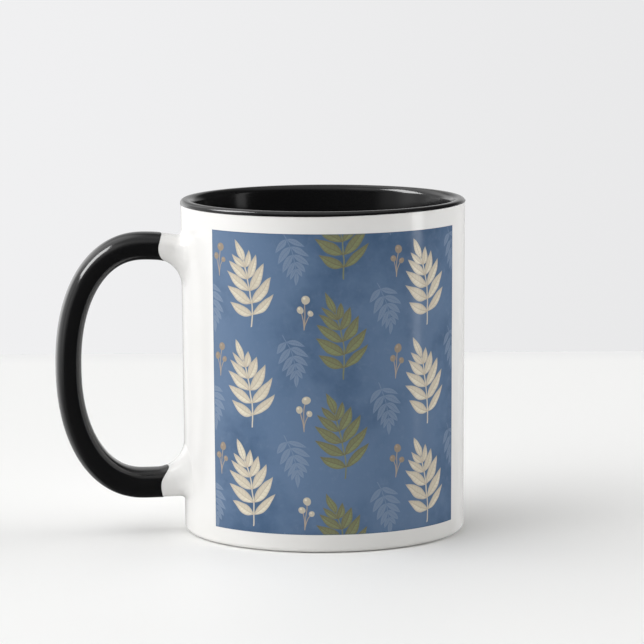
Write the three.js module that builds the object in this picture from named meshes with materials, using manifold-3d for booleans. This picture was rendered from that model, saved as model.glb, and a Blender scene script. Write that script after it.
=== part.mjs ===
// A straight-sided ceramic mug, with a black glaze inside, on the rim and on the handle.
// Millimetres, +Z up. The handle points along -X, and the middle of the printed panel faces -Y.
// Every piece is made about the mug's own axis, and at the end the whole mug is moved so that the origin
// is on the table, in the middle of the space that the mug and its handle take up.
// The nodes are the areas that the glazes and the foot divide the fired piece into. Touching ones keep a gap.
import * as THREE from "three";
import { mergeVertices } from "three/addons/utils/BufferGeometryUtils.js";
import Module from "manifold-3d";

// Overall size
const height = 96;
const rimRadius = 41;
const baseRadius = 40.5; // the side draws in a little towards the base
const gap = 0.3; // between nodes that touch
const around = 72; // facets round the axis

// Wall, floor and lip
const wall = 3.7; // at the rim
const shoulder = 11; // the wall thickens quickly over this depth below the rim
const shoulderWall = 4.95;
const floorWall = 5.15;
const glazeDepth = 0.7;
const floorHeight = 8;
const floorFillet = 10;
const lipHeight = 1.2; // the black band below the rim's crest
const lipCrest = 39.35; // radius of the crest
const lipStart = 1.9; // the lip's inner edge starts this far below the crest

// Foot
const cornerRadius = 2.2;
const cornerLift = 0.25; // the glazed corner stays clear of the table
const footInner = 33.4;
const footOuter = 38.3;
const footHeight = 1.5;
const footChamfer = 0.3;
const recess = 0.8; // the underside inside the foot ring is raised by this much

// Printed panel, flush with the side
const panelBottom = 5.25;
const panelTop = 89.85;
const panelHalfAngle = THREE.MathUtils.degToRad(56.5);
const panelDepth = 0.6;

// Handle: a flattened bar bent round a superellipse, with a straight root at each end
const loop = { start: 52, middle: 48.77, reach: 21.67, rise: 34.42, power: 2.2 };
const halfThickness = 3.68; // in the handle's plane, at its outermost point
const halfWidth = 6.4; // across the handle's plane
const rootHalfWidth = 6.9;
const outerPower = 2.2; // the section is rounded on the outer face and flatter towards the fingers
const innerPower = 2.8;
const handleSides = 20;
const loopSteps = 36;
const sideFillet = 3.5; // where the flanks of a root run out into the side of the mug
const outerFillet = 1.6; // above the upper root and below the lower one
const fitDepth = 6; // within this distance of the side, a root follows its curve

// Each root: which way it lies from the loop's middle, how much thicker the bar is there, its fillet towards
// the finger gap, and how far it droops towards the loop's middle. The black glaze ends at these distances
// from the mug's axis, on the flanks, the outer face and the inner face.
const upperRoot = {
  side: 1, extraHalf: 0.25, innerFillet: 7, droop: 1.2,
  glazeEnd: { flank: 47.9, outer: 46.6, inner: 46.1 },
};
const lowerRoot = {
  side: -1, extraHalf: 0.55, innerFillet: 8, droop: 0.2,
  glazeEnd: { flank: 47.8, outer: 46.9, inner: 45.2 },
};

const sideRadius = (z) => baseRadius + ((rimRadius - baseRadius) * z) / height;

function wallAt(z) {
  const low = height - shoulder;
  if (z > low) return wall + ((shoulderWall - wall) * (height - z)) / shoulder;
  return shoulderWall + ((floorWall - shoulderWall) * (low - z)) / (low - floorHeight);
}

// Points of an arc in a profile, from one angle to another, measured from +r towards +z.
function arc(r, z, radiusR, radiusZ, from, to, steps) {
  const points = [];
  for (let i = 0; i <= steps; i++) {
    const a = THREE.MathUtils.degToRad(from + ((to - from) * i) / steps);
    points.push([r + radiusR * Math.cos(a), z + radiusZ * Math.sin(a)]);
  }
  return points;
}

// A closed profile of [radius, height] points turned round the Z axis. The profile runs anticlockwise.
function turned(profile) {
  const closed = [...profile, profile[0]];
  const onAxis = profile[0][0] === 0 && profile[profile.length - 1][0] === 0;
  const points = (onAxis ? profile : closed).map(([r, z]) => new THREE.Vector2(r, z));
  return new THREE.LatheGeometry(points, around).rotateX(Math.PI / 2);
}

// The cavity's surface at a given distance behind the black glaze: from the floor's centre up to a height.
function cavityProfile(offset, top) {
  const radiusAt = (z) => sideRadius(z) - wallAt(z) + offset;
  const floor = floorHeight - offset;
  const bend = floorFillet + offset;
  const start = radiusAt(floorHeight + floorFillet);
  return [
    [0, floor],
    [start * 0.45, floor],
    ...arc(start - bend, floor + bend, bend, bend, -90, 0, 8),
    [radiusAt(height - shoulder), height - shoulder],
    [radiusAt(top), top],
  ];
}

const wasm = await Module();
wasm.setup();

// A closed geometry as a solid for joining and cutting.
function solid(geometry) {
  const bare = geometry.clone();
  bare.deleteAttribute("normal");
  bare.deleteAttribute("uv");
  const merged = mergeVertices(bare, 1e-3);
  return new wasm.Manifold(
    new wasm.Mesh({
      numProp: 3,
      vertProperties: merged.attributes.position.array,
      triVerts: new Uint32Array(merged.index.array),
    }),
  );
}

function geometryOf(made) {
  const mesh = made.getMesh();
  const geometry = new THREE.BufferGeometry();
  geometry.setAttribute("position", new THREE.BufferAttribute(mesh.vertProperties, 3));
  geometry.setIndex(new THREE.BufferAttribute(mesh.triVerts, 1));
  geometry.computeVertexNormals();
  return geometry;
}

// A slice of the mug behind the printed panel, grown by a margin on all its edges.
function panelSlice(margin) {
  const far = 2 * rimRadius;
  const half = panelHalfAngle + margin / rimRadius;
  const shape = new THREE.Shape();
  shape.moveTo(0, 0);
  for (const angle of [-half, 0, half]) {
    shape.lineTo(far * Math.sin(angle), -far * Math.cos(angle));
  }
  const depth = panelTop - panelBottom + 2 * margin;
  const slice = new THREE.ExtrudeGeometry(shape, { depth, bevelEnabled: false });
  return slice.translate(0, 0, panelBottom - margin);
}

// A shell that follows the side, from a depth below its surface to a distance above it.
function sideShell(depth, above) {
  const top = height;
  return turned([
    [sideRadius(0) - depth, 0],
    [sideRadius(0) + above, 0],
    [sideRadius(top) + above, top],
    [sideRadius(top) - depth, top],
  ]);
}

function body() {
  const top = height - lipHeight - gap;
  const outer = arc(
    sideRadius(0) - cornerRadius, cornerLift + cornerRadius, cornerRadius, cornerRadius, -90, 0, 6,
  ).filter(([r]) => r > footOuter + gap);
  const profile = [
    [0, recess],
    [footInner - gap, recess],
    [footInner - gap, footHeight + gap],
    [footOuter + gap, footHeight + gap],
    [footOuter + gap, cornerLift],
    ...outer,
    [sideRadius(top), top],
    ...cavityProfile(glazeDepth + gap, top).reverse(),
  ];
  const pocket = solid(sideShell(panelDepth + gap, 1)).intersect(solid(panelSlice(gap)));
  return geometryOf(solid(turned(profile)).subtract(pocket));
}

function innerGlaze() {
  const top = height - lipHeight - gap;
  return turned([
    ...cavityProfile(glazeDepth, top),
    ...cavityProfile(0, top).reverse(),
  ]);
}

// The lip swells evenly from the side to its crest and down into the cavity.
function rim() {
  const low = height - lipHeight;
  const inside = cavityProfile(0, low).pop()[0];
  return turned([
    [inside, low],
    [sideRadius(low), low],
    ...arc(lipCrest, low, sideRadius(low) - lipCrest, lipHeight, 20, 90, 6),
    ...arc(lipCrest, height - lipStart, lipCrest - inside, lipStart, 110, 160, 5),
  ].filter(([, z], i) => i === 0 || z >= low));
}

function footRing() {
  return turned([
    [footInner + footChamfer, 0],
    [footOuter - footChamfer, 0],
    [footOuter, footChamfer],
    [footOuter, footHeight],
    [footInner, footHeight],
    [footInner, footChamfer],
  ]);
}

function printedPanel() {
  return geometryOf(solid(sideShell(panelDepth, 0)).intersect(solid(panelSlice(0))));
}

// How far a root has spread at a distance from the side, for a fillet of a given radius.
function spread(radius, distance) {
  if (distance >= radius) return 0;
  const short = radius - Math.max(distance, 0);
  return radius - Math.sqrt(radius * radius - short * short);
}

// A point on a section of the bar. Angle 0 is on the outer face, and a quarter turn is on a flank.
function sectionOffset(angle, half, width) {
  const power = Math.cos(angle) > 0 ? outerPower : innerPower;
  const shape = (v) => Math.sign(v) * Math.abs(v) ** (2 / power);
  return [half * shape(Math.cos(angle)), width * shape(Math.sin(angle))];
}

// A point on the bent part of the bar. Turn is a quarter turn at the top and minus a quarter at the bottom.
function loopPoint(turn, angle) {
  const { start, middle, reach, rise, power } = loop;
  const c = Math.max(Math.cos(turn), 0);
  const s = Math.sin(turn);
  const across = c ** (2 / power);
  const up = Math.sign(s) * Math.abs(s) ** (2 / power);
  const normal = new THREE.Vector2(
    across ** (power - 1) / reach,
    (Math.sign(up) * Math.abs(up) ** (power - 1)) / rise,
  ).normalize();
  const root = s > 0 ? upperRoot : lowerRoot;
  const half = halfThickness + root.extraHalf * s * s;
  const width = halfWidth + (rootHalfWidth - halfWidth) * s ** 4;
  const [out, side] = sectionOffset(angle, half, width);
  return [-(start + reach * across + out * normal.x), side, middle + rise * up + out * normal.y];
}

// A point on the straight part of a root, at a distance from the mug's axis. Shrink draws it in for a cap.
function rootPoint(root, from, angle, shrink = 1) {
  const distance = from - sideRadius(loop.middle + root.side * loop.rise);
  const half = halfThickness + root.extraHalf;
  let [out, side] = sectionOffset(angle, half, rootHalfWidth);
  const facing = new THREE.Vector2(Math.cos(angle) / half, Math.sin(angle) / rootHalfWidth).normalize();
  const face = facing.x > 0 ? outerFillet : root.innerFillet;
  const radius = sideFillet + (face - sideFillet) * facing.x ** 2;
  out = (out + spread(radius, distance) * facing.x) * shrink;
  side = (side + spread(radius, distance) * facing.y) * shrink;
  const run = (loop.start - from) / (loop.start - rimRadius);
  const z = loop.middle + root.side * (loop.rise - root.droop * run * run + out);
  const local = sideRadius(z);
  const fit = Math.max(0, 1 - distance / fitDepth) ** 2;
  return [-(from - fit * (local - Math.sqrt(local * local - side * side))), side, z];
}

// Where the black glaze ends on a root.
function glazeEdge(root, angle) {
  const { flank, outer, inner } = root.glazeEnd;
  const c = Math.cos(angle);
  return flank + ((c > 0 ? outer : inner) - flank) * c * c;
}

// A closed skin over rings of points, each ring with the same number, with a single point at each end.
function skin(first, rings, last, flip) {
  const sides = rings[0].length;
  const positions = [...first, ...rings.flat(2), ...last];
  const end = rings.length * sides + 1;
  const at = (ring, i) => 1 + ring * sides + (i % sides);
  const faces = [];
  for (let i = 0; i < sides; i++) {
    faces.push([0, at(0, i + 1), at(0, i)]);
    faces.push([end, at(rings.length - 1, i), at(rings.length - 1, i + 1)]);
    for (let ring = 0; ring < rings.length - 1; ring++) {
      faces.push([at(ring, i), at(ring, i + 1), at(ring + 1, i)]);
      faces.push([at(ring, i + 1), at(ring + 1, i + 1), at(ring + 1, i)]);
    }
  }
  const geometry = new THREE.BufferGeometry();
  geometry.setAttribute("position", new THREE.Float32BufferAttribute(positions, 3));
  geometry.setIndex((flip ? faces.map(([a, b, c]) => [a, c, b]) : faces).flat());
  geometry.computeVertexNormals();
  return geometry;
}

const angles = Array.from({ length: handleSides }, (_, i) => (i * 2 * Math.PI) / handleSides);
const steps = (count) => Array.from({ length: count + 1 }, (_, i) => i / count);
const capCentre = ({ glazeEnd }) => (glazeEnd.outer + glazeEnd.inner) / 2;

function handleGrip() {
  const straight = (root) =>
    steps(3).map((t) =>
      angles.map((a) => {
        const edge = glazeEdge(root, a) + gap / 2;
        return rootPoint(root, edge + (loop.start - edge) * t, a);
      }),
    );
  const bend = steps(loopSteps)
    .slice(1, -1)
    .map((t) => angles.map((a) => loopPoint(Math.PI * (0.5 - t), a)));
  const rings = [...straight(upperRoot), ...bend, ...straight(lowerRoot).reverse()];
  const cap = (root) => rootPoint(root, capCentre(root) + gap / 2, 0, 0);
  return skin(cap(upperRoot), rings, cap(lowerRoot), false);
}

function handleRoot(root) {
  const foot = sideRadius(loop.middle + root.side * loop.rise) + gap;
  const flare = steps(8).map((t) =>
    angles.map((a) => {
      const edge = glazeEdge(root, a) - gap / 2;
      return rootPoint(root, foot + (edge - foot) * (1 - Math.sin((t * Math.PI) / 2)), a);
    }),
  );
  const onSide = (shrink) =>
    angles.map((a) => {
      const [, y, z] = rootPoint(root, foot, a, shrink);
      const local = sideRadius(z) + gap;
      return [-Math.sqrt(local * local - y * y), y, z];
    });
  const rings = [...flare.slice(0, -1), onSide(1), onSide(0.7), onSide(0.35)];
  const cap = rootPoint(root, capCentre(root) - gap / 2, 0, 0);
  return skin(cap, rings, rootPoint(root, foot, 0, 0), root.side > 0);
}

const whiteGlaze = new THREE.MeshStandardMaterial({ color: 0xf3f2ef, roughness: 0.15 });
const blackGlaze = new THREE.MeshStandardMaterial({ color: 0x101010, roughness: 0.12 });
const bareClay = new THREE.MeshStandardMaterial({ color: 0xd9d2c4, roughness: 0.85 });
const print = new THREE.MeshStandardMaterial({ color: 0x62799c, roughness: 0.18 });

const mug = new THREE.Group();
const add = (name, geometry, material) => {
  const mesh = new THREE.Mesh(geometry, material);
  mesh.name = name;
  mug.add(mesh);
};
add("body", body(), whiteGlaze);
add("inner_glaze", innerGlaze(), blackGlaze);
add("rim", rim(), blackGlaze);
add("foot_ring", footRing(), bareClay);
add("printed_panel", printedPanel(), print);
add("handle_grip", handleGrip(), blackGlaze);
add("handle_root_upper", handleRoot(upperRoot), whiteGlaze);
add("handle_root_lower", handleRoot(lowerRoot), whiteGlaze);

const handleReach = loop.start + loop.reach + halfThickness;
mug.position.x = (handleReach - rimRadius) / 2;

export default mug;
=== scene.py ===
import bmesh
import bpy
import math
from mathutils import Matrix, Vector


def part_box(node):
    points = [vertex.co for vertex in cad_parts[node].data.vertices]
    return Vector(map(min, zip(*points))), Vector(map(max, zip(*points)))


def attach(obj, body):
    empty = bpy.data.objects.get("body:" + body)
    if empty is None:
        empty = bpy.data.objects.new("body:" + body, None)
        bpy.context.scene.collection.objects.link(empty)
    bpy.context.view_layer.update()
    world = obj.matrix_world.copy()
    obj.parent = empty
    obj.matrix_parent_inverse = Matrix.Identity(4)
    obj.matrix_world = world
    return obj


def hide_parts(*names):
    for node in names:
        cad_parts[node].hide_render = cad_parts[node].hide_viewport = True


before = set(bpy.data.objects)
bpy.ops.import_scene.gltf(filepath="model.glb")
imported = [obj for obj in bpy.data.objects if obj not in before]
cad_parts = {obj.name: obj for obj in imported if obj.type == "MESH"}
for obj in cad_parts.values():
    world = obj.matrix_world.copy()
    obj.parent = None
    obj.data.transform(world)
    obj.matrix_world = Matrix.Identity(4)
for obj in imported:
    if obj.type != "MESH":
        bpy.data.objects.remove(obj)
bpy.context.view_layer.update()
print("frame loaded:", ", ".join(sorted(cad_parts)))

mm = 0.001  # shapes below are in millimetres about the mug's own axis, and become metres when a piece is made

bodyLow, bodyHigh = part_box("body")
rimLow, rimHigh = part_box("rim")
footLow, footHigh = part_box("foot_ring")
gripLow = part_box("handle_grip")[0]
panelLow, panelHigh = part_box("printed_panel")
mugAxis = Vector(((bodyLow.x + bodyHigh.x) / 2, 0, 0))
mergeDistance = 0.0005  # points nearer than this become one

mug = {
    "height": rimHigh.z / mm,
    "rimRadius": (rimHigh.x - rimLow.x) / 2 / mm,
    "baseRadius": 40.5,
    "wall": 3.7,  # at the rim
    "shoulder": 11.0,  # the wall thickens quickly over this depth below the rim
    "shoulderWall": 4.95,
    "floorWall": 5.15,
    "floor": 8.0,
    "floorRounding": 10.0,
    "glaze": 0.12,  # the black glaze stands this much proud of the white
    "glazeFilm": 0.1,
    "blackFrom": rimLow.z / mm,
    "cornerRounding": 1.5,
    "cornerLift": 0.05,  # the glazed corner stays this far above the table
    "cornerSlope": 0.1,  # and the glaze rises this much from there to the foot
    "underside": 0.8,
    "outerLip": 1.25,
    "innerLip": 1.9,
    "shoulderRounding": 4.0,
    "turnSteps": 192,
}


def sideRadius(z):
    return mug["baseRadius"] + (mug["rimRadius"] - mug["baseRadius"]) * z / mug["height"]


def cavityRadius(z):
    shoulder = mug["height"] - mug["shoulder"]
    if z > shoulder:
        wall = mug["wall"] + (mug["shoulderWall"] - mug["wall"]) * (mug["height"] - z) / mug["shoulder"]
    else:
        down = (shoulder - z) / (shoulder - mug["floor"])
        wall = mug["shoulderWall"] + (mug["floorWall"] - mug["shoulderWall"]) * down
    return sideRadius(z) - wall


# Materials: an expression on Wires adds its Math nodes, and make() adds any other node.

class Wire:
    def __init__(self, tree, socket):
        self.tree = tree
        self.socket = socket

    def make(self, kind, settings, inputs, output=0):
        node = self.tree.nodes.new("ShaderNode" + kind)
        for name, setting in settings.items():
            setattr(node, name, setting)
        for name, value in inputs.items():
            if isinstance(value, Wire):
                self.tree.links.new(value.socket, node.inputs[name])
            else:
                node.inputs[name].default_value = value
        return Wire(self.tree, node.outputs[output])

    def maths(self, operation, *values):
        return self.make("Math", {"operation": operation}, dict(enumerate(values)))

    def __add__(self, other):
        return self.maths("ADD", self, other)

    __radd__ = __add__

    def __sub__(self, other):
        return self.maths("SUBTRACT", self, other)

    def __rsub__(self, other):
        return self.maths("SUBTRACT", other, self)

    def __mul__(self, other):
        return self.maths("MULTIPLY", self, other)

    __rmul__ = __mul__

    def __truediv__(self, other):
        return self.maths("DIVIDE", self, other)

    def __abs__(self):
        return self.maths("ABSOLUTE", self)


def larger(a, b):
    return a.maths("MAXIMUM", a, b)


def ease(value, low, high):
    return value.make("MapRange", {"interpolation_type": "SMOOTHSTEP"},
                      {"Value": value, "From Min": low, "From Max": high})


def blend(factor, low, high):
    ends = [c if isinstance(c, Wire) else (*c, 1.0) for c in (low, high)]
    return factor.make("Mix", {"data_type": "RGBA"}, {0: factor, 6: ends[0], 7: ends[1]}, 2)


def shift(coords, amount):
    return coords.make("VectorMath", {"operation": "ADD"}, {0: coords, 1: amount})


def noise(coords, scale, detail=2.0, rough=0.5):
    inputs = {"Vector": coords, "Scale": scale, "Detail": detail, "Roughness": rough}
    return coords.make("TexNoise", {}, inputs)


def split(vector):
    parts = vector.make("SeparateXYZ", {}, {"Vector": vector})
    return [Wire(parts.tree, parts.socket.node.outputs[i]) for i in range(3)]


def newMaterial(name):
    material = bpy.data.materials.new(name)
    material.use_nodes = True
    tree = material.node_tree
    coordinates = tree.nodes.new("ShaderNodeTexCoord")
    return material, Wire(tree, coordinates.outputs["Object"])


def finish(material, colour, rough, height, lift, constants):
    tree = material.node_tree
    shader = tree.nodes["Principled BSDF"]
    for name, value in constants.items():
        shader.inputs[name].default_value = value
    bump = height.make("Bump", {}, {"Height": height, "Distance": lift, "Strength": 1.0})
    for name, wire in {"Base Color": colour, "Roughness": rough, "Normal": bump}.items():
        tree.links.new(wire.socket, shader.inputs[name])
    return material


# Glazes

def glazeRough(at, look):
    # the fired gloss is a little duller in patches
    patches = ease(noise(at, look["dullPatches"], 4.0), 0.3, 0.7)
    return patches * (look["roughHigh"] - look["roughLow"]) + look["roughLow"]


def glazeRipple(at, look):
    # slow waves with a fine orange peel over them
    return noise(at, look["waviness"], 1.0) + noise(at, look["peel"], 2.0) * look["peelShare"]


whiteFinish = {
    "colour": (0.838, 0.831, 0.817),
    "pooled": (0.80, 0.792, 0.77),  # where the glaze lies thicker
    "poolPatches": 34.0,
    "poolHeight": 0.012,  # it pools towards the foot, from this high, m
    "roughLow": 0.10,
    "roughHigh": 0.17,
    "dullPatches": 60.0,
    "waviness": 95.0,
    "peel": 620.0,
    "peelShare": 0.05,
    "lift": 0.00003,
}


def whiteGlaze():
    look = whiteFinish
    material, at = newMaterial("whiteGlaze")
    nearFoot = 1 - ease(split(at)[2], 0.002, look["poolHeight"])
    pooled = ease(noise(at, look["poolPatches"], 3.0) + nearFoot * 0.35, 0.42, 0.95)
    colour = blend(pooled, look["colour"], look["pooled"])
    return finish(material, colour, glazeRough(at, look), glazeRipple(at, look), look["lift"], {"IOR": 1.5})


blackFinish = {
    "colour": (0.0058, 0.0058, 0.0062),
    "thin": (0.022, 0.017, 0.014),  # on the crest of the lip, where the glaze draws thin
    "thinPatches": 210.0,
    "thinDepth": 0.5,  # below the crest, mm
    "roughLow": 0.13,
    "roughHigh": 0.18,
    "dullPatches": 70.0,
    "waviness": 80.0,
    "peel": 560.0,
    "peelShare": 0.05,
    "lift": 0.00003,
}


def blackGlaze():
    look = blackFinish
    material, at = newMaterial("blackGlaze")
    crest = ease(split(at)[2], (mug["height"] - look["thinDepth"]) * mm, mug["height"] * mm)
    thin = crest * ease(noise(at, look["thinPatches"], 3.0), 0.35, 0.8)
    colour = blend(thin, look["colour"], look["thin"])
    return finish(material, colour, glazeRough(at, look), glazeRipple(at, look), look["lift"], {"IOR": 1.5})


clayFinish = {
    "colour": (0.66, 0.61, 0.53),
    "worn": (0.44, 0.41, 0.37),  # rubbed grey where the foot meets the table
    "wornPatches": 260.0,
    "wornShare": 0.8,
    "touchHeight": 0.0004,  # the wear fades out this far above the table, m
    "roughLow": 0.77,
    "roughHigh": 0.87,
    "grain": 1500.0,
    "lift": 0.00008,
}


def bareClay():
    look = clayFinish
    material, at = newMaterial("bareClay")
    grain = noise(at, look["grain"], 5.0, 0.7)
    touching = 1 - ease(split(at)[2], 0.0, look["touchHeight"])
    worn = touching * ease(noise(at, look["wornPatches"], 4.0), 0.4, 0.65)
    colour = blend(worn * look["wornShare"], look["colour"], look["worn"])
    rough = grain * (look["roughHigh"] - look["roughLow"]) + look["roughLow"]
    return finish(material, colour, rough, grain, look["lift"], {})


# The print: a half-drop repeat of leaf sprigs and berries on a mottled slate-blue ground

panel = {
    "bottom": panelLow.z / mm,
    "top": panelHigh.z / mm,
    "halfAngle": math.radians(56.5),
    "proud": 0.04,  # above the white glaze
    "sheet": 0.02,
    "steps": 112,
}
panel["width"] = 2 * panel["halfAngle"] * mug["rimRadius"]
panel["height"] = panel["top"] - panel["bottom"]

printFinish = {
    "columns": 3,
    "rows": 3,
    "groundLight": (0.125, 0.195, 0.315),
    "groundDark": (0.060, 0.112, 0.205),
    "mist": (0.235, 0.305, 0.415),  # the small sprigs between the large ones
    "cream": (0.74, 0.69, 0.56),
    "sage": (0.235, 0.262, 0.135),
    "taupe": (0.42, 0.345, 0.265),
    "umber": (0.135, 0.112, 0.080),
    "largeTilt": 12,  # degrees
    "smallTilt": -14,
    "smallSize": 0.62,
    "softness": 0.2,  # an edge of the print runs from full colour to none over this width, mm
    "drift": 1.8,  # hand-drawn shapes stray this far, mm
    "driftScale": 110.0,
    "wash": 42.0,  # scales of the mottling, from the washes of the ground to the specks in it
    "bloom": 15.0,
    "brush": 170.0,
    "specks": 480.0,
    "edge": 0.35,  # the ink lies thicker along the edge of the whole print, mm
    "roughLow": 0.12,
    "roughHigh": 0.18,
    "dullPatches": 60.0,
}

# A sprig in millimetres: each pair of leaves is given by where it leaves the stem, its length, half its width
# and its lean in degrees. The last one stands on the tip.
sprig = {
    "stemBottom": -12.5,
    "stemTop": 7.0,
    "stemHalf": 0.2,
    "leaves": [
        {"up": -9.0, "length": 8.6, "half": 1.25, "lean": 33},
        {"up": -5.6, "length": 9.6, "half": 1.45, "lean": 39},
        {"up": -2.0, "length": 9.0, "half": 1.4, "lean": 45},
        {"up": 1.4, "length": 7.4, "half": 1.2, "lean": 51},
        {"up": 4.4, "length": 5.4, "half": 0.95, "lean": 58},
        {"up": 6.2, "length": 6.4, "half": 1.05, "lean": 90},
    ],
    "bend": 0.012,  # the stem bows sideways, per millimetre of height
    "leafBow": 1.1,  # and a leaf's midrib upwards, mm
    "veins": 8,  # on each leaf
    "veinLean": 0.5,
    "veinStrength": 0.4,  # beside the midrib's 1
    "veinEdges": (0.04, 0.16),  # a vein fades out between these distances from its middle
    "rimEdges": (0.1, 0.6),  # the tone along a leaf's edge fades out between these distances, mm
}

# Berries on short stalks, beside a sprig: across, up and radius
berryStalk = {
    "berries": [(-9.9, 9.6, 1.15), (-11.6, 6.9, 0.95), (-8.8, 6.1, 0.8)],
    "foot": (-10.6, 1.2),
    "edges": (0.04, 0.2),  # a stalk fades out between these distances from its middle
    "glint": (-0.3, 0.35),  # where a berry's light spot is, and its edges, in radii
    "glintEdges": (0.12, 0.45),
}


def leafMasks(x, y, up, length, half, lean):
    # how far a point lies inside the leaf's edge, and its distance across the midrib, in millimetres
    soft = printFinish["softness"]
    c, s = math.cos(math.radians(lean)), math.sin(math.radians(lean))
    rise = y - up
    along = (x * c + rise * s) / length
    across = rise * c - x * s
    if lean < 90:
        across = across + along * (1 - along) * sprig["leafBow"]
    fullness = larger(1.35 - along * 0.6, 0.2)  # a leaf is fuller near the stem than near its tip
    width = along * (1 - along) * fullness * (4 * half)
    inside = width - abs(across)
    whole = ease(inside, -soft / 2, soft / 2)
    midrib = 1 - ease(abs(across), *sprig["veinEdges"])
    wave = along * sprig["veins"] - abs(across) * sprig["veinLean"]
    veins = (1 - ease(abs(wave.maths("FRACT", wave) - 0.5), *sprig["veinEdges"])) * sprig["veinStrength"]
    return {
        "shape": whole,
        "vein": whole * larger(midrib, veins),
        "shade": whole * ease(across, -0.15, 0.15),
        "rim": whole * (1 - ease(inside, *sprig["rimEdges"])),
    }


def sprigMasks(x, y):
    soft = printFinish["softness"]
    side = abs(x)
    stem = ease(sprig["stemHalf"] - side, -soft / 2, soft / 2)
    bottom, top = sprig["stemBottom"], sprig["stemTop"]
    stem = stem * (ease(y, bottom, bottom + soft) * (1 - ease(y, top, top + soft)))
    masks = {"shape": stem, "vein": stem * 0.3, "shade": stem * 0.0, "rim": stem * 0.0}
    for settings in sprig["leaves"]:
        one = leafMasks(side, y, **settings)
        for part in ("vein", "shade", "rim"):
            masks[part] = masks[part] * (1 - one["shape"]) + one[part]
        masks["shape"] = larger(masks["shape"], one["shape"])
    return masks


def cells(u, v, slide):
    # a cell's own coordinates in millimetres, and whether its column is an odd one
    wide, tall = panel["width"] / printFinish["columns"], panel["height"] / printFinish["rows"]
    place = u / wide + slide
    column = place.maths("FLOOR", place)
    height = v / tall + column * 0.5 + slide * 0.5
    half = column * 0.5
    odd = ease(half.maths("FRACT", half), 0.2, 0.3)
    return (place - column - 0.5) * wide, (height.maths("FRACT", height) - 0.5) * tall, odd


def tilted(x, y, degrees, size=1.0):
    c, s = math.cos(math.radians(degrees)) / size, math.sin(math.radians(degrees)) / size
    across = x * c + y * s
    up = y * c - x * s
    return across + up * up * sprig["bend"], up


def berryMasks(x, y):
    soft = printFinish["softness"]
    footX, footY = berryStalk["foot"]
    glintX, glintY = berryStalk["glint"]
    fruit = glint = stalk = x * 0
    for across, up, radius in berryStalk["berries"]:
        dx, dy = x - across, y - up
        away = dx.maths("SQRT", dx * dx + dy * dy)
        fruit = larger(fruit, 1 - ease(away, radius - soft / 2, radius + soft / 2))
        dx, dy = x - (across + radius * glintX), y - (up + radius * glintY)
        away = dx.maths("SQRT", dx * dx + dy * dy)
        glint = larger(glint, 1 - ease(away, *(radius * edge for edge in berryStalk["glintEdges"])))
        t = (y - footY) / (up - footY)
        line = x - (footX + (across - footX) * t * t)
        span = ease(t, 0, 0.05) * (1 - ease(t, 0.95, 1.0))
        stalk = larger(stalk, (1 - ease(abs(line), *berryStalk["edges"])) * span)
    return fruit, glint, stalk


def printedGlaze():
    look = printFinish
    material, at = newMaterial("printedGlaze")
    uv = at.make("UVMap", {"uv_map": "printUv"}, {})
    across, upward, _ = split(uv)
    u = across * panel["width"] + (noise(at, look["driftScale"]) - 0.5) * look["drift"]
    elsewhere = shift(at, (1.7, 0.4, 2.9))
    v = upward * panel["height"] + (noise(elsewhere, look["driftScale"]) - 0.5) * look["drift"]

    # ground: washes of two blues, with fine specks
    wash = noise(at, look["wash"], 5.0, 0.6)
    bloom = noise(shift(at, (3.1, 5.2, 0.3)), look["bloom"])
    colour = blend(ease(wash + bloom - 0.5, 0.3, 0.7), look["groundDark"], look["groundLight"])
    specks = ease(noise(at, look["specks"], 4.0, 0.65), 0.5, 0.85)
    colour = blend(specks * 0.2, colour, look["mist"])

    # small sprigs in the gaps, a tone lighter than the ground
    x, y, _ = cells(u, v, 0.5)
    small = sprigMasks(*tilted(x, y * -1, look["smallTilt"], look["smallSize"]))
    tone = small["shape"] * 0.62 - small["vein"] * 0.35
    colour = blend(tone, colour, look["mist"])

    # large sprigs, cream and sage by turns, with their berries
    x, y, odd = cells(u, v, 0.0)
    large = sprigMasks(*tilted(x, y, look["largeTilt"]))
    hue = blend(odd, look["cream"], look["sage"])
    dark = blend(odd, look["taupe"], look["umber"])
    patchy = ease(noise(at, look["brush"], 3.0, 0.6), 0.35, 0.75) * 0.3
    hue = blend(larger(large["shade"] * 0.34, patchy), hue, dark)
    hue = blend(large["rim"] * 0.4, hue, dark)
    hue = blend(large["vein"] * 0.6, hue, dark)
    fruit, glint, stalk = berryMasks(x, y)
    colour = blend(stalk, colour, look["taupe"])
    colour = blend(large["shape"], colour, hue)
    colour = blend(fruit, colour, blend(odd, look["taupe"], look["cream"]))
    colour = blend(fruit * (1 - glint) * 0.35, colour, look["umber"])

    # the ink lies a little thicker along the edges
    sides = (0.5 - abs(across - 0.5)) * panel["width"]
    ends = (0.5 - abs(upward - 0.5)) * panel["height"]
    border = 1 - ease(sides.maths("MINIMUM", sides, ends), look["edge"] * 0.4, look["edge"])
    colour = blend(border * 0.45, colour, look["groundDark"])

    ripple = glazeRipple(at, whiteFinish)
    return finish(material, colour, glazeRough(at, look), ripple, whiteFinish["lift"], {"IOR": 1.5})


materials = {
    "white_glaze": whiteGlaze(),
    "black_glaze": blackGlaze(),
    "bare_clay": bareClay(),
    "print": printedGlaze(),
}
print("materials made:", ", ".join(materials))


# Shapes

def profileWire(bm, corners):
    # corners of half a section: radius, height, how far its rounding reaches, and the rounding's segments
    verts = [bm.verts.new((corner[0], 0, corner[1])) for corner in corners]
    for a, b in zip(verts, verts[1:]):
        bm.edges.new((a, b))
    for vert, (_, _, *rounding) in zip(verts, corners):
        if rounding:
            bmesh.ops.bevel(bm, geom=[vert], affect="VERTICES", offset=rounding[0], segments=rounding[1],
                            profile=0.5, material=-1)


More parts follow.
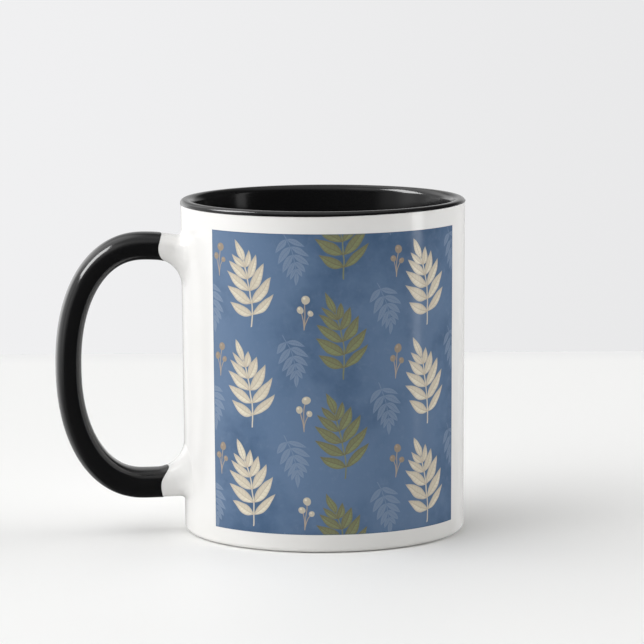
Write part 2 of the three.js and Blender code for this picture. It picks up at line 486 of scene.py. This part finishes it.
def turn(bm, start=0.0, angle=360.0, steps=mug["turnSteps"]):
    bmesh.ops.rotate(bm, verts=bm.verts, matrix=Matrix.Rotation(math.radians(start), 3, "Z"))
    bmesh.ops.spin(bm, geom=bm.verts[:] + bm.edges[:], cent=(0, 0, 0), axis=(0, 0, 1), dvec=(0, 0, 0),
                   angle=math.radians(angle), steps=steps, use_merge=angle == 360.0)
    bmesh.ops.remove_doubles(bm, verts=bm.verts, dist=mergeDistance)


def makePiece(name, bm, slotName, nodes, sharp=40):
    bmesh.ops.recalc_face_normals(bm, faces=bm.faces)
    for face in bm.faces:
        face.smooth = True
    for edge in bm.edges:
        edge.smooth = len(edge.link_faces) != 2 or edge.calc_face_angle(0) < math.radians(sharp)
    bmesh.ops.scale(bm, verts=bm.verts, vec=(mm, mm, mm))
    bmesh.ops.translate(bm, verts=bm.verts, vec=mugAxis)
    mesh = bpy.data.meshes.new(name)
    bm.to_mesh(mesh)
    bm.free()
    mesh.materials.append(materials[slotName])
    piece = bpy.data.objects.new(name, mesh)
    bpy.context.scene.collection.objects.link(piece)
    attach(piece, "root")
    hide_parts(*nodes)
    print("piece made:", name, len(mesh.polygons), "faces")
    return piece


foot = {
    "inner": 33.4,  # radii
    "outer": (footHigh.x - footLow.x) / 2 / mm,
    "depth": 1.5,
    "rounding": 0.35,
    "grooveGap": 0.06,
    "glazeEdge": 0.15,  # the white glaze ends in a small round edge beside the foot
}


def whiteBody():
    bm = bmesh.new()
    under, thin = mug["underside"], mug["glaze"]
    grooveIn, grooveOut = foot["inner"] - foot["grooveGap"], foot["outer"] + foot["grooveGap"]
    grooveTop = foot["depth"] + foot["grooveGap"]
    top = mug["height"] - thin
    shoulder = mug["height"] - mug["shoulder"]
    profileWire(bm, [
        (0, under),
        (grooveIn, under, foot["glazeEdge"], 4),
        (grooveIn, grooveTop),
        (grooveOut, grooveTop),
        (grooveOut, mug["cornerLift"] + mug["cornerSlope"], foot["glazeEdge"], 4),
        (sideRadius(0) - thin, mug["cornerLift"], mug["cornerRounding"], 16),
        (mug["rimRadius"] - thin, top, mug["outerLip"] - thin, 10),
        (cavityRadius(top) + thin, top, mug["innerLip"] - thin, 10),
        (cavityRadius(shoulder) + thin, shoulder, mug["shoulderRounding"], 8),
        (cavityRadius(mug["floor"]) + thin, mug["floor"] - thin, mug["floorRounding"] + thin, 16),
        (0, mug["floor"] - thin),
    ])
    turn(bm)
    return makePiece("whiteBody", bm, "white_glaze", ["body"])


# The black glaze's dipped edge isn't level: it hangs lower on the handle's side.
dippedEdge = {
    "depth": 1.0,  # the edge is what lies this near the outside, mm
    "band": 0.3,  # and less than this above the CAD rim's lower edge
    "sunk": 0.02,  # its lip starts just inside the white
    "rounding": 0.1,
    "turned": 0.09,  # radians
    "waves": [(1, 0.28), (3, 0.06), (8, 0.02)],  # how many go round the mug, and how high they are, mm
}


def blackLining():
    bm = bmesh.new()
    low, film = mug["blackFrom"], mug["glazeFilm"]
    edge = low - dippedEdge["sunk"]
    top = mug["height"]
    back = top - film
    shoulder = top - mug["shoulder"]
    profileWire(bm, [
        (0, mug["floor"] - film),
        (cavityRadius(mug["floor"]) + film, mug["floor"] - film, mug["floorRounding"] + film, 16),
        (cavityRadius(shoulder) + film, shoulder, mug["shoulderRounding"], 8),
        (cavityRadius(back) + film, back, mug["innerLip"] - film, 10),
        (mug["rimRadius"] - film, back, mug["outerLip"] - film, 10),
        (sideRadius(low) - mug["glaze"] - dippedEdge["sunk"], edge),
        (sideRadius(low), edge, dippedEdge["rounding"], 5),
        (mug["rimRadius"], top, mug["outerLip"], 12),
        (cavityRadius(top), top, mug["innerLip"], 12),
        (cavityRadius(shoulder), shoulder, mug["shoulderRounding"], 10),
        (cavityRadius(mug["floor"]), mug["floor"], mug["floorRounding"], 20),
        (0, mug["floor"]),
    ])
    turn(bm)
    inside = sideRadius(low) - dippedEdge["depth"]
    for vert in bm.verts:
        if vert.co.xy.length > inside and vert.co.z < low + dippedEdge["band"]:
            turned = math.atan2(vert.co.x, -vert.co.y) - dippedEdge["turned"]
            vert.co.z += sum(high * math.sin(count * turned) for count, high in dippedEdge["waves"])
    return makePiece("blackLining", bm, "black_glaze", ["inner_glaze", "rim"])


def footRing():
    bm = bmesh.new()
    inner, outer, deep, rounding = foot["inner"], foot["outer"], foot["depth"], foot["rounding"]
    corners = [(inner, deep), (inner, 0), (outer, 0), (outer, deep)]
    verts = [bm.verts.new((r, 0, z)) for r, z in corners]
    for i, vert in enumerate(verts):
        bm.edges.new((vert, verts[(i + 1) % len(verts)]))
    bmesh.ops.bevel(bm, geom=verts[1:3], affect="VERTICES", offset=rounding, segments=6, profile=0.5,
                    material=-1)
    turn(bm)
    return makePiece("footRing", bm, "bare_clay", ["foot_ring"])


def printedPanel():
    bm = bmesh.new()
    lift = panel["proud"] - mug["glaze"]  # the white glaze lies this far inside the mug's full radius
    profileWire(bm, [(sideRadius(z) + lift, z) for z in (panel["bottom"], panel["top"])])
    half = math.degrees(panel["halfAngle"])
    turn(bm, -90 - half, 2 * half, panel["steps"])
    bmesh.ops.recalc_face_normals(bm, faces=bm.faces)
    facing = bm.faces[:][0]
    if facing.normal.dot(facing.calc_center_median()) < 0:
        bmesh.ops.reverse_faces(bm, faces=bm.faces)
    bmesh.ops.solidify(bm, geom=bm.faces[:], thickness=panel["sheet"])
    layer = bm.loops.layers.uv.new("printUv")
    for face in bm.faces:
        for loop in face.loops:
            spot = loop.vert.co
            angle = math.atan2(spot.x, -spot.y)
            loop[layer].uv = (
                (angle / panel["halfAngle"] + 1) / 2,
                (spot.z - panel["bottom"]) / panel["height"],
            )
    return makePiece("printedPanel", bm, "print", ["printed_panel"])


handle = {
    "start": 52.0,  # the bend begins this far from the mug's axis
    "middle": 48.77,  # above the table
    "rise": 34.42,  # of the bend's centre line, above and below the middle
    "power": 2.2,  # the bend is a superellipse
    "halfThickness": 3.68,  # seen from the side, at its outermost point
    "halfWidth": 6.4,
    "rootHalfWidth": 6.9,
    "outerPower": 2.2,  # the bar's section is rounded outside and flatter towards the fingers
    "innerPower": 2.8,
    "sideFillet": 3.5,  # where the flanks of a root run out into the side of the mug
    "outerFillet": 1.6,  # above the upper root and below the lower one
    "fitDepth": 6.0,  # within this distance of the side, a root follows its curve
    "sides": 72,
    "bendSteps": 110,
    "edgeRounding": 0.3,  # where the black glaze ends
    "edgeSunk": 1.1,  # it goes this many times its thickness down into the white
    "edgeSteps": 6,
    "straightSteps": 8,
    "capOffset": 0.3,
    "rootSteps": 26,
    "rootOverlap": 0.05,  # the white goes on this far under the black
    "rootSunk": 0.02,  # a root ends this far inside the white of the side
    "rootBuried": 1.2,  # and its closed end lies this far inside
}
handle["reach"] = -(gripLow.x - mugAxis.x) / mm - handle["start"] - handle["halfThickness"]

# Each root: which way it lies from the loop's middle, how much thicker the bar is there, its fillet towards
# the finger gap, and how far it droops towards the loop's middle. The black glaze ends at these distances
# from the mug's axis, on the flanks, the outer face and the inner face.
upperRoot = {
    "side": 1, "extraHalf": 0.25, "innerFillet": 7.0, "droop": 1.2,
    "flank": 47.9, "outer": 46.6, "inner": 46.1,
}
lowerRoot = {
    "side": -1, "extraHalf": 0.55, "innerFillet": 8.0, "droop": 0.2,
    "flank": 47.8, "outer": 46.9, "inner": 45.2,
}


def rounded(value, power):
    return math.copysign(abs(value) ** (2 / power), value)


def section(angle, half, width):
    # angle 0 is on the outer face and a quarter turn on a flank
    power = handle["outerPower"] if math.cos(angle) > 0 else handle["innerPower"]
    return half * rounded(math.cos(angle), power), width * rounded(math.sin(angle), power)


def spread(radius, distance):
    short = max(0.0, radius - max(distance, 0.0))
    return radius - math.sqrt(radius * radius - short * short)


def bendPoint(turned, angle):
    power = handle["power"]
    c, s = max(math.cos(turned), 0.0), math.sin(turned)
    across, up = c ** (2 / power), rounded(s, power)
    slope = Vector((
        across ** (power - 1) / handle["reach"],
        math.copysign(abs(up) ** (power - 1), up) / handle["rise"],
    )).normalized()
    root = upperRoot if s > 0 else lowerRoot
    half = handle["halfThickness"] + root["extraHalf"] * s * s
    width = handle["halfWidth"] + (handle["rootHalfWidth"] - handle["halfWidth"]) * s ** 4
    out, side = section(angle, half, width)
    return (-(handle["start"] + handle["reach"] * across + out * slope.x), side,
            handle["middle"] + handle["rise"] * up + out * slope.y)


def rootPoint(root, reach, angle, inset=0.0, shrink=1.0):
    # a point on a straight root, at a distance from the mug's axis, sunk by inset below the black glaze;
    # a shrink of 0 brings it to the middle of the section
    lift = sideRadius(handle["middle"] + root["side"] * handle["rise"]) - mug["glaze"]
    distance = reach - lift
    half = handle["halfThickness"] + root["extraHalf"]
    out, side = section(angle, half - inset, handle["rootHalfWidth"] - inset)
    facing = Vector((math.cos(angle) / half, math.sin(angle) / handle["rootHalfWidth"])).normalized()
    face = handle["outerFillet"] if facing.x > 0 else root["innerFillet"]
    radius = handle["sideFillet"] + (face - handle["sideFillet"]) * facing.x ** 2
    out = (out + spread(radius, distance) * facing.x) * shrink
    side = (side + spread(radius, distance) * facing.y) * shrink
    run = (handle["start"] - reach) / (handle["start"] - mug["rimRadius"])
    z = handle["middle"] + root["side"] * (handle["rise"] - root["droop"] * run * run + out)
    local = sideRadius(z) - mug["glaze"]
    fit = max(0.0, 1 - distance / handle["fitDepth"]) ** 2
    return -(reach - fit * (local - math.sqrt(local * local - side * side))), side, z


def glazeEnd(root, angle):
    c = math.cos(angle)
    face = root["outer"] if c > 0 else root["inner"]
    uneven = 0.06 * math.sin(3 * angle + root["side"]) + 0.04 * math.sin(7 * angle)  # dipped by hand
    return root["flank"] + (face - root["flank"]) * c * c + uneven


def sweptBar(rings):
    # a unit circle is extruded once for each ring, and then every ring is moved to its place on the bar
    bm = bmesh.new()
    bmesh.ops.create_circle(bm, segments=handle["sides"], radius=1)
    edges = bm.edges[:]
    for _ in rings[1:]:
        made = bmesh.ops.extrude_edge_only(bm, edges=edges)["geom"]
        ring = set(g for g in made if isinstance(g, bmesh.types.BMVert))
        edges = [g for g in made if isinstance(g, bmesh.types.BMEdge) and set(g.verts) <= ring]
        bmesh.ops.translate(bm, verts=list(ring), vec=(0, 0, 1))
    for vert in bm.verts:
        vert.co = rings[round(vert.co.z)](math.atan2(vert.co.y, vert.co.x))
    bmesh.ops.remove_doubles(bm, verts=bm.verts, dist=mergeDistance)
    return bm


def capRing(root, offset):
    middle = (root["outer"] + root["inner"]) / 2 + offset
    return lambda angle: rootPoint(root, middle, 0.0, 0.0, 0.0)


def gripEnd(root):
    # from the cap, round the edge of the black glaze and along the straight part
    edge, edgeSteps, straightSteps = handle["edgeRounding"], handle["edgeSteps"], handle["straightSteps"]
    rings = [capRing(root, handle["capOffset"])]
    for i in range(edgeSteps + 1):
        a = math.pi / 2 * i / edgeSteps
        inset = mug["glaze"] * (1 - math.sin(a)) * handle["edgeSunk"]
        rings.append(lambda angle, inset=inset, back=edge * (1 - math.cos(a)):
                     rootPoint(root, glazeEnd(root, angle) + back, angle, inset))
    for i in range(1, straightSteps + 1):
        rings.append(lambda angle, t=i / straightSteps: rootPoint(
            root, glazeEnd(root, angle) + edge + (handle["start"] - glazeEnd(root, angle) - edge) * t, angle))
    return rings


def handleGrip():
    steps = handle["bendSteps"]
    bend = [lambda angle, t=i / steps: bendPoint(math.pi * (0.5 - t), angle) for i in range(1, steps)]
    rings = gripEnd(upperRoot) + bend + gripEnd(lowerRoot)[::-1]
    return makePiece("handleGrip", sweptBar(rings), "black_glaze", ["handle_grip"], 60)


def handleRoot(name, root, node):
    thin = mug["glaze"]
    wallFace = sideRadius(handle["middle"] + root["side"] * handle["rise"]) - thin
    start, overlap = wallFace - handle["rootSunk"], handle["rootOverlap"]
    rings = [capRing(root, 0.0)]
    for i in range(handle["rootSteps"] + 1):
        out = 1 - math.sin(i / handle["rootSteps"] * math.pi / 2)
        rings.append(lambda angle, out=out: rootPoint(
            root, start + (glazeEnd(root, angle) + overlap - wallFace) * out, angle, thin))
    rings.append(lambda angle: rootPoint(root, wallFace - handle["rootBuried"], 0.0, 0.0, 0.0))
    return makePiece(name, sweptBar(rings), "white_glaze", [node], 60)


whiteBody()
blackLining()
footRing()
printedPanel()
handleGrip()
handleRoot("handleRootUpper", upperRoot, "handle_root_upper")
handleRoot("handleRootLower", lowerRoot, "handle_root_lower")


# Floor, lights and camera

tableTop = {
    "left": -1.3,  # its edges, seen from the camera, in metres from the mug's axis
    "right": 0.42,
    "near": -1.3,
    "far": 0.327,
    "fade": 0.03,  # the far edge is out of focus
    "colour": (0.934, 0.934, 0.924),
    "farColour": (0.885, 0.885, 0.885),
    "rough": 0.55,
}


def paleTable():
    look = tableTop
    bm = bmesh.new()
    bmesh.ops.create_grid(bm, x_segments=1, y_segments=1, size=0.5)
    far = look["far"] + look["fade"]
    bmesh.ops.scale(bm, verts=bm.verts, vec=(look["right"] - look["left"], far - look["near"], 1))
    middle = ((look["right"] + look["left"]) / 2, (far + look["near"]) / 2, 0)
    bmesh.ops.translate(bm, verts=bm.verts, vec=middle)
    turned = Matrix.Rotation(math.radians(view["azimuth"]), 3, "Z")
    bmesh.ops.rotate(bm, verts=bm.verts, matrix=turned)
    bmesh.ops.translate(bm, verts=bm.verts, vec=mugAxis)
    mesh = bpy.data.meshes.new("tableTop")
    bm.to_mesh(mesh)
    bm.free()
    material, at = newMaterial("palePaint")
    shader = material.node_tree.nodes["Principled BSDF"]
    away = turned @ Vector((0, 1, 0))
    depth = at.make("VectorMath", {"operation": "DOT_PRODUCT"}, {0: at, 1: away}, 1) - mugAxis.dot(away)
    colour = blend(ease(depth, look["far"], far), look["colour"], look["farColour"])
    material.node_tree.links.new(colour.socket, shader.inputs["Base Color"])
    shader.inputs["Roughness"].default_value = look["rough"]
    mesh.materials.append(material)
    table = bpy.data.objects.new("tableTop", mesh)
    table.visible_glossy = False  # the black glaze shows the dark studio and not the bright table
    bpy.context.scene.collection.objects.link(table)


# The studio in two parts, as it is lit for a product picture: what the gloss shows, and what fills
# the white. Each is an even light and soft patches: where they are and how far they reach, in degrees,
# and how bright.
surround = {
    "wallLeft": (0.873, 0.873, 0.882),  # the studio wall behind the table
    "wallRight": (0.815, 0.815, 0.822),
    "wallBlend": 0.11,  # the one runs into the other this far to each side, as a sine
    "shine": {
        "even": 0.045,
        "patches": [
            {"azimuth": 0, "elevation": 90, "inner": 8, "outer": 45, "bright": 0.51},  # the ceiling
            {"azimuth": -30, "elevation": 60, "inner": 5, "outer": 35, "bright": 0.24},
            {"azimuth": -70, "elevation": 50, "inner": 8, "outer": 28, "bright": 0.55},
            {"azimuth": -150, "elevation": 42, "inner": 5, "outer": 30, "bright": 1.0},  # beside the key
            {"azimuth": 160, "elevation": 52, "inner": 5, "outer": 22, "bright": 0.15},
            {"azimuth": -80, "elevation": 8, "inner": 5, "outer": 25, "bright": 0.4},  # the left wall
            {"azimuth": -105, "elevation": 10, "inner": 5, "outer": 30, "bright": 0.62},
            {"azimuth": -140, "elevation": 10, "inner": 5, "outer": 30, "bright": 0.5},
            {"azimuth": 173, "elevation": 14, "inner": 5, "outer": 22, "bright": 0.4},
            {"azimuth": -160, "elevation": 5, "inner": 4, "outer": 20, "bright": 0.86},  # behind the mug
            {"azimuth": -175, "elevation": -8, "inner": 4, "outer": 22, "bright": 0.4},
            {"azimuth": 150, "elevation": -8, "inner": 8, "outer": 30, "bright": 0.5},
            {"azimuth": -95, "elevation": -20, "inner": 5, "outer": 30, "bright": 0.17},
            {"azimuth": -140, "elevation": -20, "inner": 5, "outer": 35, "bright": 0.55},
            {"azimuth": 74.5, "elevation": -3, "inner": 3.5, "outer": 7.5, "bright": 2.2},  # under the window
        ],
    },
    "fill": {
        "even": 0.0,
        "patches": [
            {"azimuth": 0, "elevation": 90, "inner": 5, "outer": 40, "bright": 0.55},
            {"azimuth": -65, "elevation": 60, "inner": 5, "outer": 30, "bright": 1.3},
            {"azimuth": -60, "elevation": 35, "inner": 5, "outer": 28, "bright": 1.8},
            {"azimuth": -7, "elevation": 35, "inner": 5, "outer": 28, "bright": 0.55},
            {"azimuth": -95, "elevation": 15, "inner": 5, "outer": 75, "bright": 1.48},
            {"azimuth": 95, "elevation": 5, "inner": 5, "outer": 45, "bright": 3.3},
            {"azimuth": -160, "elevation": 15, "inner": 5, "outer": 50, "bright": 0.86},
        ],
    },
}


def direction(azimuth, elevation):
    a, e = math.radians(azimuth), math.radians(elevation)
    return Vector((math.sin(a) * math.cos(e), -math.cos(a) * math.cos(e), math.sin(e)))


def brightness(toward, part):
    light = toward.make("Value", {}, {})
    light.socket.default_value = part["even"]
    for patch in part["patches"]:
        axis = direction(patch["azimuth"], patch["elevation"])
        facing = toward.make("VectorMath", {"operation": "DOT_PRODUCT"}, {0: toward, 1: axis}, 1)
        edges = [math.cos(math.radians(patch[reach])) for reach in ("outer", "inner")]
        light = ease(facing, *edges) * patch["bright"] + light
    return light


def softSurround():
    world = bpy.data.worlds.new("surround")
    bpy.context.scene.world = world
    world.use_nodes = True
    tree = world.node_tree
    coordinates = tree.nodes.new("ShaderNodeTexCoord")
    toward = Wire(tree, coordinates.outputs["Generated"])
    cameraRay = toward.make("LightPath", {}, {}, 0)
    glossyRay = toward.make("LightPath", {}, {}, 3)
    shine = brightness(toward, surround["shine"])
    fill = brightness(toward, surround["fill"])
    light = shine * glossyRay + fill * (1 - glossyRay)
    grey = light.make("CombineColor", {}, {0: light, 1: light, 2: light})
    right = direction(view["azimuth"] + 90, 0)
    across = toward.make("VectorMath", {"operation": "DOT_PRODUCT"}, {0: toward, 1: right}, 1)
    wall = blend(ease(across, -surround["wallBlend"], surround["wallBlend"]), surround["wallLeft"],
                 surround["wallRight"])
    tree.links.new(blend(cameraRay, grey, wall).socket, tree.nodes["Background"].inputs["Color"])


# Soft boxes: their place in degrees round and above the mug, their size in metres, and how bright each one is
# in the gloss and on the white. They face a point this far above the table, in metres.
aimHeight = 0.05
softboxes = {
    "key": {
        "azimuth": -104, "elevation": 41, "distance": 1.3, "width": 0.52, "height": 0.74,
        "shine": 11.0, "fill": 1.5,
    },
    "window": {
        "azimuth": 74.5, "elevation": 14, "distance": 1.2, "width": 0.24, "height": 0.75,
        "shine": 0.85, "fill": 0.0,
    },
}


def softbox(name, box, part):
    light = bpy.data.lights.new(name, "AREA")
    light.shape = "RECTANGLE"
    light.size = box["width"]
    light.size_y = box["height"]
    light.energy = box[part] * math.pi * box["width"] * box["height"]
    lamp = bpy.data.objects.new(name, light)
    lamp.visible_glossy = part == "shine"
    lamp.visible_diffuse = part == "fill"
    away = direction(box["azimuth"], box["elevation"])
    lamp.location = mugAxis + Vector((0, 0, aimHeight)) + away * box["distance"]
    lamp.rotation_euler = away.to_track_quat("Z", "Y").to_euler()
    bpy.context.scene.collection.objects.link(lamp)


view = {
    "azimuth": -7.05,
    "distance": 1.030,  # along the table, from the mug's axis
    "height": 0.1982,
    "pitch": 7.645,
    "yaw": -0.021,
    "roll": -0.29,
    "focalPixels": 3600,
    "imagePixels": 644,
}


def photoCamera():
    data = bpy.data.cameras.new("camera")
    camera = bpy.data.objects.new("camera", data)
    data.sensor_width = 36
    data.lens = view["focalPixels"] / view["imagePixels"] * data.sensor_width
    a = math.radians(view["azimuth"])
    camera.location = mugAxis + Vector((
        math.sin(a) * view["distance"], -math.cos(a) * view["distance"], view["height"]))
    heading = Matrix.Rotation(a - math.radians(view["yaw"]), 4, "Z")
    pitch = Matrix.Rotation(math.radians(90 - view["pitch"]), 4, "X")
    roll = Matrix.Rotation(math.radians(view["roll"]), 4, "Z")
    camera.rotation_euler = (heading @ pitch @ roll).to_euler()
    bpy.context.scene.collection.objects.link(camera)
    bpy.context.scene.camera = camera


paleTable()
softSurround()
for name, box in softboxes.items():
    for part in ("shine", "fill"):
        if box[part] > 0:
            softbox(name + part.capitalize(), box, part)
photoCamera()
bpy.context.scene.view_settings.view_transform = "Standard"
print("stage, lights and camera set")
